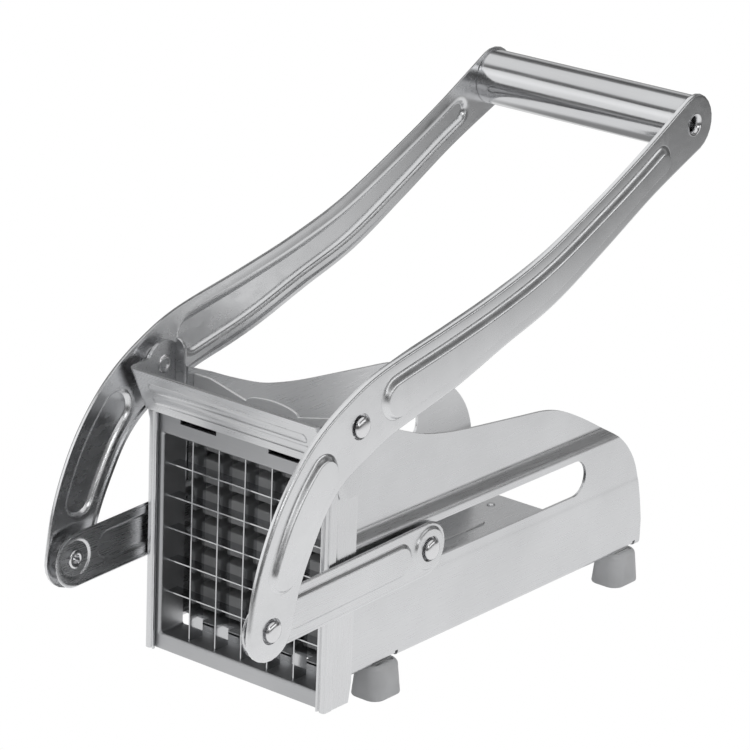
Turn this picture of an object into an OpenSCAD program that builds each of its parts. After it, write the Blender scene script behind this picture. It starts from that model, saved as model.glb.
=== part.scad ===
// Lever-operated french fry cutter: a folded steel body with a drop-in blade
// cassette at the front, a peg block that two links push through the blades,
// and a long pair of arms joined by a tube handle.
// X is the width, Y runs from the blades (front) to the handle, Z is up.
// The drawing frame has y = 0 on the front face of the posts and z = 0 under
// the front frame; the whole part is then moved so that its bounding box
// stands centred over the origin on the plane z = 0.

/* [Cutting grid] */
// Distance from one blade to the next
cell_pitch = 10.8; // [8:0.1:12]
// Cells in each direction
cells = 6; // [4:1:7]
// Thickness of a blade strip
blade_t = 0.5; // [0.4:0.1:0.8]
// Width of a blade strip, front to back
blade_w = 6.2; // [4:0.1:8]

/* [Blade cassette] */
// Depth of the cassette box, front to back
cassette_d = 10.8; // [9.5:0.1:11.1]
// Sheet thickness of the cassette
cassette_t = 1.0; // [0.8:0.1:1.2]
// Width of the flange round the opening at the sides
cassette_side = 2.5; // [2:0.1:3.2]
// Height of the flange under the opening
cassette_foot = 4.6; // [3.5:0.1:6]
// Height of the flange over the opening
cassette_head = 8.0; // [6:0.1:10]
// Extra height of the bottom row of cells
bottom_row_extra = 2.6; // [1:0.1:4]
// Distance of the blade edges behind the cassette's front face
blade_setback = 2.2; // [1:0.1:2.5]

/* [Front frame] */
// Width of a post's front lip
lip_w = 4.1; // [3:0.1:5]
// Sheet thickness of the frame
frame_t = 1.0; // [0.8:0.1:1.5]
// Depth of a post's side flange
flange_d = 13.2; // [13:0.1:18]
// Radius of the rolled bead down each front corner
corner_bead_r = 1.3; // [1.1:0.1:1.6]

/* [Body shell] */
// Sheet thickness of the shell
shell_t = 1.0; // [0.8:0.1:1.2]
// How far the shell reaches behind the front face
body_len = 166.5; // [155:0.5:190]
// Height of the walls' front over the front frame
wall_rise = 8; // [6:0.5:12]
// Height of the shell's underside over the frame's underside
belly_z = 7.7; // [6.5:0.1:8.4]
// How far the upper wall stands in from the lower wall
jog_in = 3.0; // [2:0.1:3.4]
// Height of the jog's lower line
jog_z = 50.8; // [50:0.1:54]
// Height that the jog takes
jog_h = 3.4; // [2:0.1:5]
// Height of the guide slot
slot_h = 12.4; // [10:0.1:13]
// Length of a rib pressed in the floor
rib_l = 120; // [60:1:130]
// Width of a rib pressed in the floor
rib_w = 5; // [3:0.5:8]
// Height of a rib pressed in the floor
rib_h = 0.5; // [0.3:0.1:0.6]

/* [Top bracket] */
// Height of the leaning plate, measured up its slope
lean_h = 17.6; // [15:0.1:19]
// Angle by which the plate leans forward
lean_angle = 25.7; // [22:0.1:32]
// Sheet thickness of the bracket
bracket_t = 1.2; // [0.8:0.1:1.4]
// Radius of the ears round the lever's pivot
ear_r = 7.6; // [6.5:0.1:8.5]
// Width of the stiffening flange behind each ear
ear_flange_w = 3.6; // [2:0.1:4]

/* [Cross plate] */
// Height of the plate's shoulders over the front frame
plate_rise = 9.5; // [8:0.1:12]
// Height of the plate's dips over the front frame
plate_dip_rise = 6; // [3:0.1:7]
// Width of the rounded middle
plate_hump_w = 21; // [14:0.5:30]
// Height of the rounded middle over the dips
plate_hump_h = 2.6; // [1.5:0.1:4]
// Distance of a shoulder's corner from the middle
plate_step_x = 25.5; // [20:0.5:28]

/* [Lever] */
// Height of the lever's pivot over the front frame
pivot_rise = 13.5; // [11:0.1:15]
// Distance of the lever's pivot behind the front face
pivot_y = 7.0; // [6:0.1:8]
// How far the handle lies behind the pivot
handle_back = 167.3; // [150:0.5:190]
// How far the handle lies above the pivot
handle_up = 60.9; // [45:0.5:75]
// How far the lower pivot lies in front of the main pivot
crank_fwd = 38.5; // [34:0.1:42]
// How far the lower pivot lies under the main pivot
crank_drop = 54.4; // [50:0.1:58]
// Sheet thickness of an arm
arm_t = 1.2; // [1:0.1:1.5]
// Half width of an arm at its lower eye
eye_half = 10.1; // [9:0.1:11]
// Half width of an arm at its bend
bend_half = 12.4; // [12:0.1:13]
// Half width of an arm at its waist
waist_half = 9.3; // [8.5:0.1:10]
// Half width of an arm at the handle
grip_half = 10.2; // [9.5:0.1:11]
// Depth of the turned rim along the upper part of an arm
rim_deep = 4.4; // [3:0.1:4.8]
// Depth of the turned rim along the lower part of an arm
rim_shallow = 2.2; // [1.4:0.1:2.4]
// Width of the flat margin round a raised panel
panel_margin = 5.0; // [4:0.1:5.6]
// Height of a raised panel on an arm
panel_rise = 1.3; // [0.6:0.1:1.6]
// Gap between an ear and an arm
arm_gap = 2.6; // [2.3:0.1:4]

/* [Handle tube] */
// Outer diameter of the tube
tube_d = 18.6; // [16:0.1:19]
// Wall of the tube
tube_t = 1.0; // [0.7:0.1:2]
// Diameter of the tie rod through the tube
tie_d = 6.0; // [4:0.1:8]

/* [Links] */
// Distance of the link's rear pivot behind the front face
slider_y = 46.9; // [44:0.1:50]
// Height of the guide slot's centre line
slot_z = 41.7; // [41:0.1:43]
// Half width of a link
link_half = 8.6; // [7.6:0.1:9]
// Sheet thickness of a link
link_t = 1.0; // [0.8:0.1:1.1]
// Gap between the front frame and a link
link_gap = 0.4; // [0.3:0.1:0.6]
// Height of the raised panel on a link
link_panel_rise = 0.9; // [0.4:0.1:1]
// Width of the flat margin round a link's raised panel
link_margin = 3.4; // [2.8:0.1:4.2]

/* [Rivets] */
// Diameter of a rivet's shank
rivet_d = 5.0; // [4:0.1:6]
// Diameter of a rivet's domed head
rivet_head_d = 8.4; // [7:0.1:9]
// Height of a rivet's domed head
rivet_head_h = 1.8; // [1.2:0.1:2.2]
// Diameter of the hollow in a rivet's inner end
rivet_hollow_d = 2.8; // [2:0.1:3.2]

/* [Pusher] */
// Distance of the peg tips behind the front face at rest
peg_tip_y = 18.6; // [17.5:0.1:22]
// Width of a square peg
peg_w = 8.4; // [6:0.1:9]
// Length of a peg
peg_l = 12.4; // [12.2:0.1:14]
// Thickness of the peg block's back
peg_back_t = 3; // [2:0.1:4]
// Sheet thickness of the pusher's steel carrier
carrier_t = 1.0; // [0.8:0.1:1.2]

/* [Feet] */
// Width of a foot across the cutter
foot_w = 11.4; // [9:0.1:13]
// Length of a foot along the cutter
foot_l = 13.4; // [12:0.1:15]
// How far the feet reach below the front frame
foot_drop = 3.9; // [3:0.1:6]
// Distance of the front feet's centre behind the front face
front_foot_y = 30.6; // [30:0.1:36]

/* [Hidden] */

// Clearances and small overruns
slide_fit = 0.3;
pin_fit = 0.05;
slot_fit = 0.3;
seat_gap = 0.1;
over = 1;
round_fn = 64;
small_fn = 32;

link_clear = 0.7;
wall_gap = 0.4;
plate_gap = 2;
slot_room = 6.8;
slot_lead = 5.2;
// Distance of each floor rib from the middle
rib_x = 13.3;

// Feet, the tabs that they are pushed on and the reliefs in the wall over them
foot_round = 2.2;
foot_draft = 1.4;
foot_tab_l = 8;
foot_tab_depth = 5;
foot_shoulder = 3.6;
foot_stand = 2.5;
foot_gap = 1.2;
foot_slot_l = 11;
foot_slot_h = 1.8;
notch_h = 1.6;

// Cassette sizes that follow the grid
opening_w = cells * cell_pitch;
opening_h = cells * cell_pitch + bottom_row_extra;
cassette_w = opening_w + 2 * cassette_side;
cassette_h = cassette_foot + opening_h + cassette_head;
cassette_z = frame_t;
cassette_y = frame_t + slide_fit;
opening_z = cassette_z + cassette_foot;
blade_y = cassette_y + blade_setback;
pull_slot_l = 14.8;
pull_slot_h = 2;
pull_slot_x = 18;
pull_slot_drop = 2.4;

// Frame and shell widths, built outward from the cassette
shell_half = cassette_w / 2 + slide_fit + shell_t;
frame_half = shell_half + frame_t;
upper_half = shell_half - jog_in;
frame_h = cassette_z + cassette_h - frame_t;
rear_of_cassette = cassette_y + cassette_d;

// The arms, links and ears are layered outward from the frame
ear_in = frame_half;
ear_out = ear_in + bracket_t;
arm_in = ear_out + arm_gap;
arm_out = arm_in + arm_t;
link_in = frame_half + link_gap;
link_out = link_in + link_t;

// Heights that follow the front frame
wall_h = frame_h + wall_rise;
pivot_z = frame_h + pivot_rise;
plate_side_z = frame_h + plate_rise;
plate_dip_z = frame_h + plate_dip_rise;

// Pivot places in the drawing frame, as [y, z]
main_pivot = [pivot_y, pivot_z];
lower_pivot = [pivot_y - crank_fwd, pivot_z - crank_drop];
slider_pivot = [slider_y, slot_z];
grip_centre = [pivot_y + handle_back, pivot_z + handle_up];

// Travel of the pusher: it follows the lever by a fixed ratio
push_per_radian = 60;
lever_down = 20;
lever_up = 70;
push_forward = push_per_radian * lever_down * PI / 180;
push_back = push_per_radian * lever_up * PI / 180;
slot_front_y = slider_y - push_forward - slot_lead;
slot_rear_y = slider_y + push_back + slot_room;

// Centre line of the lower arm, from the main pivot to the lower eye, as
// shares of the crank's reach forward and down
lower_shares = [[0.336, 0.108], [0.59, 0.27], [0.784, 0.479], [0.932, 0.74], [1, 1]];
// Centre line of the upper arm, from the main pivot to the handle, as
// shares of the handle's reach back and up
upper_shares = [[0.081, 0.095], [0.251, 0.198], [0.401, 0.31], [0.548, 0.429],
                [0.702, 0.595], [0.852, 0.797], [1, 1]];
arm_path = concat(
    [for (i = [len(lower_shares) - 1:-1:0])
        [pivot_y - crank_fwd * lower_shares[i][0], pivot_z - crank_drop * lower_shares[i][1]]],
    [main_pivot],
    [for (s = upper_shares) [pivot_y + handle_back * s[0], pivot_z + handle_up * s[1]]]
);
// Half width at each point of the centre line; from the bend to the waist it
// narrows by shares of their difference
taper_shares = [0.48, 0.3, 0.12, 0];
arm_half = concat(
    [eye_half, (eye_half + bend_half) / 2],
    [for (i = [0:len(lower_shares) - 1]) bend_half],
    [for (s = taper_shares) waist_half + s * (bend_half - waist_half)],
    [(waist_half + grip_half) / 2, grip_half]
);
pivot_index = len(lower_shares);
path_steps = 4;
end_steps = 8;

// Smooth curve through a list of values, by four neighbours
function curve(a, b, c, d, t) =
    0.5 * ((2 * b) + (c - a) * t + (2 * a - 5 * b + 4 * c - d) * t * t
        + (3 * b - a - 3 * c + d) * t * t * t);
function item(list, i) = list[max(0, min(len(list) - 1, i))];
function smooth(list, first, last) = concat(
    [for (i = [first:last - 1], k = [0:path_steps - 1])
        curve(item(list, i - 1), list[i], list[i + 1], item(list, i + 2), k / path_steps)],
    [list[last]]
);
function unit(v) = v / norm(v);
function left_of(v) = [-v[1], v[0]];
function heading(path, i) =
    unit(path[min(i + 1, len(path) - 1)] - path[max(i - 1, 0)]);

// Outline of a strip round a path with half widths, with both ends round
function strip(path, half) = let (n = len(path) - 1) concat(
    [for (i = [0:n]) path[i] + left_of(heading(path, i)) * half[i]],
    [for (k = [1:end_steps - 1]) let (u = heading(path, n), a = 90 - 180 * k / end_steps)
        path[n] + (u * cos(a) + left_of(u) * sin(a)) * half[n]],
    [for (i = [n:-1:0]) path[i] - left_of(heading(path, i)) * half[i]],
    [for (k = [1:end_steps - 1]) let (u = -heading(path, 0), a = 90 - 180 * k / end_steps)
        path[0] + (u * cos(a) + left_of(u) * sin(a)) * half[0]]
);
function narrowed(half, inset) = [for (h = half) h - inset];

arm_last = len(arm_path) - 1;
whole_path = smooth(arm_path, 0, arm_last);
whole_half = smooth(arm_half, 0, arm_last);
arm_outline = strip(whole_path, whole_half);
arm_inner = strip(whole_path, narrowed(whole_half, arm_t));
// The two raised panels stop short of the eyes
low_first = path_steps + 1;
low_last = path_steps * (pivot_index - 1) - path_steps / 2;
high_first = path_steps * (pivot_index + 1) + 1;
high_last = path_steps * arm_last - path_steps / 2;
function part_of(list, first, last) = [for (i = [first:last]) list[i]];
function panel(first, last, inset) =
    strip(part_of(whole_path, first, last), narrowed(part_of(whole_half, first, last), inset));

// The bounding box in the drawing frame sets the origin
front_reach = min([for (p = arm_outline) p[0]]);
rear_reach = max([for (p = arm_outline) p[0]]);
y_mid = (front_reach + rear_reach) / 2;

// Top edge of the side walls, as shares of the body's length and wall height
wall_top_shares = [
    [0.148, 0.995], [0.205, 0.948], [0.288, 0.886], [0.35, 0.858], [0.42, 0.836],
    [0.53, 0.812], [0.61, 0.796], [0.68, 0.779], [0.735, 0.75], [0.79, 0.702], [0.85, 0.64],
    [0.905, 0.575], [0.945, 0.505], [0.972, 0.42], [0.99, 0.3], [1, 0.19]
];

// Height over which the outline cuts the walls' front corner
wall_front_share = 1.05;

module placed() {
    translate([0, -y_mid, foot_drop]) children();
}

// A flat piece drawn in the side view, from x0 outward by t
module side_sheet(x0, t, points) {
    translate([x0, 0, 0])
        rotate([90, 0, 90])
            linear_extrude(height = t) polygon(points);
}

// A round bar or hole along X at a place in the side view
module side_pin(place, x0, x1, d, fn = round_fn) {
    translate([x0, place[0], place[1]])
        rotate([0, 90, 0])
            cylinder(h = x1 - x0, d = d, $fn = fn);
}

// A block given by its low corner and its high corner
module block(low, high) {
    translate(low) cube(high - low);
}

// Both sides of the cutter are alike
module both_sides() {
    children();
    mirror([1, 0, 0]) children();
}

// Side is 1 for the right half and -1 for the left half
module on_side(side) {
    if (side > 0) children();
    else mirror([1, 0, 0]) children();
}

// Half of the shell's cross-section, in the front view as [x, z]
function shell_section() = let (top = wall_h * wall_front_share, ease = shell_t / 3) [
    [0, belly_z], [shell_half, belly_z], [shell_half, jog_z],
    [upper_half, jog_z + jog_h], [upper_half, top],
    [upper_half - shell_t, top], [upper_half - shell_t, jog_z + jog_h - ease],
    [shell_half - shell_t, jog_z - ease], [shell_half - shell_t, belly_z + shell_t],
    [0, belly_z + shell_t]
];
wall_start_y = rear_of_cassette + wall_gap;
leg_front_y = 2 * corner_bead_r + seat_gap;

// The guide slot's round-ended hole through a wall
module slot_cut(x0, x1) {
    block([x0, slot_front_y, slot_z - slot_h / 2], [x1, slot_rear_y, slot_z + slot_h / 2]);
    side_pin([slot_front_y, slot_z], x0, x1, slot_h);
    side_pin([slot_rear_y, slot_z], x0, x1, slot_h);
}

tooth_w = cell_pitch / 2;
tooth_drop = 2;
rear_foot_y = body_len - foot_l / 2 - foot_round;
foot_places = [front_foot_y, rear_foot_y];

// Folded from one sheet: two side walls with a jog, a floor with pressed ribs
module body_shell() {
    outline = concat(
        [[wall_start_y, belly_z - foot_tab_depth], [body_len, belly_z - foot_tab_depth]],
        [for (i = [len(wall_top_shares) - 1:-1:0])
            [body_len * wall_top_shares[i][0], wall_h * wall_top_shares[i][1]]],
        [[wall_start_y, wall_h * wall_front_share]]
    );
    color("gainsboro") placed() {
        difference() {
            union() {
                both_sides() intersection() {
                    translate([0, body_len + over, 0])
                        rotate([90, 0, 0])
                            linear_extrude(height = body_len) polygon(shell_section());
                    side_sheet(-over, shell_half + 2 * over, outline);
                }
                // Legs that reach forward beside the cassette, inside the frame's flanges
                both_sides() block([shell_half - shell_t, leg_front_y, belly_z],
                                   [shell_half, wall_start_y + shell_t, frame_h]);
                both_sides() block([upper_half - shell_t, wall_start_y, jog_z + jog_h],
                                   [shell_half, wall_start_y + shell_t, frame_h]);
                // Tabs under the walls hold the feet
                both_sides() for (y = foot_places)
                    block([shell_half - shell_t, y - foot_tab_l / 2, belly_z - foot_tab_depth],
                          [shell_half, y + foot_tab_l / 2, belly_z + over]);
                // Teeth bent down along the floor's front edge
                for (i = [1:cells - 1])
                    translate([(i - cells / 2) * cell_pitch, wall_start_y, belly_z])
                        block([-tooth_w / 2, 0, -tooth_drop], [tooth_w / 2, shell_t, over]);
                // Ribs pressed up from the floor
                both_sides() translate([rib_x, body_len / 2, belly_z + shell_t])
                    block([-rib_w / 2, -rib_l / 2, 0], [rib_w / 2, rib_l / 2, rib_h]);
            }
            both_sides() slot_cut(upper_half, shell_half + over);
            // A slot over each foot and a notch behind its tab
            both_sides() for (y = foot_places) {
                block([shell_half - shell_t - over, y - foot_slot_l / 2, belly_z + shell_t],
                      [shell_half + over, y + foot_slot_l / 2, belly_z + shell_t + foot_slot_h]);
                block([shell_half - 2 * shell_t, y + foot_tab_l / 2, belly_z - over],
                      [shell_half + over, y + foot_tab_l / 2 + notch_h, belly_z + notch_h]);
            }
        }
    }
}

// Plate that joins the walls over the chamber's mouth, with a rounded middle
plate_y = rear_of_cassette + shell_t + plate_gap;
plate_low_z = opening_z + opening_h + cell_pitch / 4;
hump_r = (plate_hump_w * plate_hump_w / 4 + plate_hump_h * plate_hump_h) / (2 * plate_hump_h);
hump_angle = asin(plate_hump_w / 2 / hump_r);
hump_steps = 12;
module cross_plate() {
    half = upper_half - shell_t;
    hump = [for (k = [0:hump_steps]) let (a = hump_angle * (1 - 2 * k / hump_steps))
        [hump_r * sin(a), plate_dip_z + plate_hump_h - hump_r + hump_r * cos(a)]];
    color("silver") placed() translate([0, plate_y + shell_t, 0]) rotate([90, 0, 0])
        linear_extrude(height = shell_t) polygon(concat(
            [[-half, plate_low_z], [half, plate_low_z], [half, plate_side_z], [plate_step_x, plate_side_z]],
            hump,
            [[-plate_step_x, plate_side_z], [-half, plate_side_z]]
        ));
}

// Two channel posts and the shelf that the cassette stands on
module front_frame() {
    color("gainsboro") placed() {
        difference() {
            union() {
                both_sides() {
                    block([frame_half - lip_w, 0, 0], [frame_half, frame_t, frame_h]);
                    block([frame_half - frame_t, 0, 0], [frame_half, flange_d, frame_h]);
                }
                block([-frame_half, 0, 0], [frame_half, rear_of_cassette, frame_t - seat_gap]);
            }
            both_sides() translate([frame_half, 0, -over])
                block([-corner_bead_r, -over, 0], [over, corner_bead_r, frame_h + 2 * over]);
        }
        // A rolled bead runs down each front corner
        both_sides() translate([frame_half - corner_bead_r, corner_bead_r, 0])
            difference() {
                cylinder(h = frame_h, r = corner_bead_r, $fn = small_fn);
                block([-corner_bead_r - over, frame_t - corner_bead_r, -over],
                      [-corner_bead_r / 2, corner_bead_r + over, frame_h + over]);
            }
    }
}

// Leaning plate over the cassette, with an ear at each end for the lever
lean_low_z = frame_h + bracket_t * sin(lean_angle) + seat_gap;
lean_low_y = 0;
lean_rib_l = 66;
lean_rib_d = 2.2;
lean_rib_shares = [0.36, 0.64];
leg_low_z = frame_h - cell_pitch;
ear_rear_angle = 30;
lean_top = [lean_low_y - lean_h * sin(lean_angle), lean_low_z + lean_h * cos(lean_angle)];
module top_bracket() {
    tilt = [cos(lean_angle), sin(lean_angle)];
    front_low = [lean_low_y, lean_low_z] - tilt * bracket_t;
    front_top = lean_top - tilt * bracket_t;
    ear_top = [for (k = [0:end_steps])
        let (a = 180 - lean_angle + (ear_rear_angle + lean_angle - 180) * k / end_steps)
        main_pivot + ear_r * [cos(a), sin(a)]];
    color("gainsboro") placed() {
        difference() {
            union() {
                translate([0, lean_low_y, lean_low_z]) rotate([lean_angle, 0, 0])
                    block([-ear_out, -bracket_t, 0], [ear_out, 0, lean_h]);
                both_sides() side_sheet(ear_in, bracket_t, concat(
                    [front_low, front_top], ear_top,
                    [[flange_d, pivot_z + ear_r / 2], [flange_d, leg_low_z], [frame_t, leg_low_z],
                     [frame_t, lean_low_z]]
                ));
                both_sides() block([ear_in - ear_flange_w, flange_d - bracket_t, frame_h],
                                   [ear_in, flange_d, pivot_z + ear_r / 2]);
                both_sides() translate([ear_in - ear_flange_w, flange_d - bracket_t, pivot_z + ear_r / 2])
                    rotate([-90, 0, 0]) intersection() {
                        translate([ear_flange_w, 0, 0])
                            cylinder(h = bracket_t, r = ear_flange_w, $fn = small_fn);
                        block([0, -ear_flange_w, 0], [ear_flange_w, 0, bracket_t]);
                    }
                // Two long ribs stiffen the plate
                for (z = lean_rib_shares)
                    translate([0, lean_low_y, lean_low_z]) rotate([lean_angle, 0, 0])
                        translate([-lean_rib_l / 2, -bracket_t, lean_h * z])
                            rotate([0, 90, 0])
                                cylinder(h = lean_rib_l, d = lean_rib_d, $fn = small_fn);
            }
            both_sides() side_pin(main_pivot, ear_in - over, ear_out + over, rivet_d + 2 * pin_fit);
            // Nothing of the ribs stands out of the plate's rear face
            translate([0, lean_low_y, lean_low_z]) rotate([lean_angle, 0, 0])
                block([-lean_rib_l / 2 - over, 0, lean_rib_d], [lean_rib_l / 2 + over, lean_rib_d, lean_h]);
        }
    }
}

// Sheet box with a flange round its front, open front and rear
module blade_cassette() {
    half = cassette_w / 2;
    in = opening_w / 2;
    high = cassette_z + cassette_h;
    color("silver") placed() difference() {
        union() {
            difference() {
                block([-half, cassette_y, cassette_z], [half, cassette_y + cassette_t, high]);
                block([-in, cassette_y - over, opening_z],
                      [in, cassette_y + cassette_d, opening_z + opening_h]);
            }
            difference() {
                block([-in - cassette_t, cassette_y, opening_z - cassette_t],
                      [in + cassette_t, cassette_y + cassette_d, opening_z + opening_h + cassette_t]);
                block([-in, cassette_y - over, opening_z],
                      [in, cassette_y + cassette_d + over, opening_z + opening_h]);
            }
        }
        // Finger slots in the head flange
        both_sides() translate([pull_slot_x, 0, opening_z + opening_h + cassette_head - pull_slot_drop])
            block([-pull_slot_l / 2, cassette_y - over, 0],
                  [pull_slot_l / 2, cassette_y + cassette_t + over, pull_slot_h]);
        // Slits that hold the blades' ends
        for (i = [1:cells - 1]) {
            translate([(i - cells / 2) * cell_pitch, 0, 0])
                block([-blade_t / 2 - pin_fit, blade_y - pin_fit, opening_z - cassette_t - over],
                      [blade_t / 2 + pin_fit, blade_y + blade_w + pin_fit,
                       opening_z + opening_h + cassette_t + over]);
            translate([0, 0, opening_z + bottom_row_extra + i * cell_pitch])
                block([-in - cassette_t - over, blade_y - pin_fit, -blade_t / 2 - pin_fit],
                      [in + cassette_t + over, blade_y + blade_w + pin_fit, blade_t / 2 + pin_fit]);
        }
    }
}

blade_reach = opening_w / 2 + cassette_t;
blade_low = opening_z - cassette_t;
blade_high = opening_z + opening_h + cassette_t;
bevel_share = 0.25;

// One strip blade along Z, with its front edge ground to a wedge
module strip_blade(length) {
    linear_extrude(height = length)
        polygon([[0, 0], [blade_t / 2, blade_w * bevel_share], [blade_t / 2, blade_w],
                 [-blade_t / 2, blade_w], [-blade_t / 2, blade_w * bevel_share]]);
}

// Each crossing is a half lap: flat strips are slit from the front
module horizontal_blades() {
    color("whitesmoke") placed() for (i = [1:cells - 1])
        translate([-blade_reach, blade_y, opening_z + bottom_row_extra + i * cell_pitch])
            difference() {
                rotate([0, 90, 0]) strip_blade(2 * blade_reach);
                for (j = [1:cells - 1])
                    translate([blade_reach + (j - cells / 2) * cell_pitch, 0, -over])
                        block([-blade_t / 2 - pin_fit, -over, 0],
                              [blade_t / 2 + pin_fit, blade_w / 2 + pin_fit, 2 * over]);
            }
}

// Upright strips are slit from the rear where the flat ones pass
module vertical_blades() {
    color("whitesmoke") placed() for (i = [1:cells - 1])
        translate([(i - cells / 2) * cell_pitch, blade_y, blade_low])
            difference() {
                strip_blade(blade_high - blade_low);
                for (j = [1:cells - 1])
                    translate([-over, 0, opening_z + bottom_row_extra + j * cell_pitch - blade_low])
                        block([0, blade_w / 2 - pin_fit, -blade_t / 2 - pin_fit],
                              [2 * over, blade_w + over, blade_t / 2 + pin_fit]);
            }
}

peg_back_y = peg_tip_y + peg_l;
carrier_y = peg_back_y + peg_back_t;
chamber_half = upper_half - shell_t;
peg_block_half = opening_w / 2 - (cell_pitch - peg_w) / 2;
peg_low = opening_z + bottom_row_extra + (cell_pitch - peg_w) / 2;
peg_block_high = opening_z + opening_h - (cell_pitch - peg_w) / 2;

// Moulded block: one square peg for each cell on a thick back
module peg_block() {
    color([0.16, 0.16, 0.17]) placed() difference() {
        union() {
            block([-peg_block_half, peg_back_y, peg_low], [peg_block_half, carrier_y, peg_block_high]);
            for (i = [0:cells - 1], j = [0:cells - 1])
                translate([(i + 0.5 - cells / 2) * cell_pitch, 0,
                           opening_z + bottom_row_extra + (j + 0.5) * cell_pitch])
                    block([-peg_w / 2, peg_tip_y, -peg_w / 2], [peg_w / 2, peg_back_y + over, peg_w / 2]);
        }
        for (p = carrier_rivet_places())
            translate([p[0], peg_back_y - over, p[1]]) rotate([-90, 0, 0])
                cylinder(h = peg_back_t + 2 * over, d = carrier_rivet_d + 2 * pin_fit, $fn = small_fn);
    }
}

carrier_rivet_d = 2.2;
carrier_rivet_head = 4.2;
function carrier_rivet_places() = [for (i = [1, cells - 1], j = [1, cells - 1])
    [(i - cells / 2) * cell_pitch, opening_z + bottom_row_extra + j * cell_pitch]];

wing_in = shell_half - shell_t - slide_fit - carrier_t;
wing_out = wing_in + carrier_t;
wing_half_h = slot_h / 2 - slot_fit + carrier_t;
wing_rear = slider_y + slot_h / 2;

// Folded plate behind the peg block, with a wing along each wall
module pusher_carrier() {
    low = belly_z + shell_t + rib_h + slide_fit;
    color("silver") placed() difference() {
        union() {
            block([-chamber_half + slide_fit, carrier_y, low],
                  [chamber_half - slide_fit, carrier_y + carrier_t, opening_z + opening_h]);
            both_sides() {
                block([chamber_half - slide_fit - over, carrier_y, slot_z - wing_half_h],
                      [wing_out, carrier_y + carrier_t, slot_z + wing_half_h]);
                block([wing_in, carrier_y, slot_z - wing_half_h],
                      [wing_out, slider_y, slot_z + wing_half_h]);
                side_pin(slider_pivot, wing_in, wing_out, 2 * wing_half_h);
            }
            // Top lip turned to the rear
            block([-chamber_half + slide_fit, carrier_y, opening_z + opening_h - carrier_t],
                  [chamber_half - slide_fit, carrier_y + cell_pitch / 2, opening_z + opening_h]);
        }
        both_sides() side_pin(slider_pivot, wing_in - over, wing_out + over, rivet_d + 2 * pin_fit);
        for (p = carrier_rivet_places())
            translate([p[0], carrier_y - over, p[1]]) rotate([-90, 0, 0])
                cylinder(h = carrier_t + 2 * over, d = carrier_rivet_d + 2 * pin_fit, $fn = small_fn);
    }
}

// Four small rivets hold the peg block on its carrier
module carrier_rivets() {
    color("silver") placed() for (p = carrier_rivet_places())
        translate([p[0], 0, p[1]]) rotate([-90, 0, 0]) {
            translate([0, 0, peg_back_y])
                cylinder(h = peg_back_t + carrier_t + seat_gap, d = carrier_rivet_d, $fn = small_fn);
            translate([0, 0, carrier_y + carrier_t])
                cylinder(h = carrier_rivet_d / 3, d = carrier_rivet_head, $fn = small_fn);
        }
}

// Flanged plastic bush that runs in the guide slot
bush_d = slot_h - 2 * slot_fit;
module slider_bush(side) {
    color([0.2, 0.2, 0.21]) placed() on_side(side) difference() {
        side_pin(slider_pivot, wing_out, link_in, bush_d);
        side_pin(slider_pivot, wing_out - over, link_in + over, rivet_d + 2 * pin_fit);
    }
}

// Domed rivet head along X, standing outward from x0
module dome(place, x0) {
    dome_r = (rivet_head_d * rivet_head_d / 4 + rivet_head_h * rivet_head_h) / (2 * rivet_head_h);
    translate([x0, place[0], place[1]]) rotate([0, 90, 0]) intersection() {
        translate([0, 0, rivet_head_h - dome_r]) sphere(r = dome_r, $fn = round_fn);
        cylinder(h = rivet_head_h, d = rivet_head_d, $fn = round_fn);
    }
}

// Rivet with its domed head outside and a hollow, spread end inside
rivet_tail = 0.6;
module rivet(place, x_in, x_head) {
    difference() {
        union() {
            side_pin(place, x_in - rivet_tail, x_head, rivet_d);
            side_pin(place, x_in - rivet_tail, x_in, rivet_d + 2 * rivet_tail);
            dome(place, x_head);
        }
        side_pin(place, x_in - rivet_tail - over, x_in + rivet_hollow_d, rivet_hollow_d);
    }
}

// Rivet through a link, its bush and the carrier's wing
module slider_rivet(side) {
    color("silver") placed() on_side(side)
        rivet(slider_pivot, wing_in, link_out + link_panel_rise + seat_gap);
}

// A link's outline follows the line from its rear pivot to its front pivot
link_dir = unit(lower_pivot - slider_pivot);
function link_outline(start, end, half) = strip(
    [slider_pivot + link_dir * start, (slider_pivot + lower_pivot) / 2, lower_pivot - link_dir * end],
    [half, half, half]);
link_panel_start = 14;
link_panel_end = 15;
link_panel_half = link_half - link_margin;
boss_d = 2 * link_half - link_margin;

// Sheet link with a raised panel and a raised boss round its rear rivet
module link(side) {
    color("gainsboro") placed() on_side(side) difference() {
        union() {
            side_sheet(link_in, link_t, link_outline(0, 0, link_half));
            side_sheet(link_out, link_panel_rise,
                       link_outline(link_panel_start, link_panel_end, link_panel_half));
            side_pin(slider_pivot, link_out, link_out + link_panel_rise, boss_d);
        }
        side_sheet(link_in - over, over + link_panel_rise, link_outline(
            link_panel_start, link_panel_end, link_panel_half - link_panel_rise));
        side_pin(slider_pivot, link_in - over, link_out + link_panel_rise + over, rivet_d + 2 * pin_fit);
        side_pin(lower_pivot, link_in - over, link_out + over, rivet_d + 2 * pin_fit);
    }
}

// Hollow rivet with a flange on each side of the link's front eye; the inner
// flange is thin, so that it passes the front frame
flange_t = link_gap - seat_gap;
module link_eyelet(side) {
    color("silver") placed() on_side(side) difference() {
        union() {
            side_pin(lower_pivot, link_in - flange_t, link_in, rivet_head_d);
            side_pin(lower_pivot, link_in - flange_t, link_out + rivet_tail, rivet_d);
            side_pin(lower_pivot, link_out, link_out + rivet_tail, rivet_head_d);
        }
        side_pin(lower_pivot, link_in - flange_t - over, link_out + rivet_tail + over, rivet_hollow_d);
    }
}

deep_start_r = 2.2 * bend_half;

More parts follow.
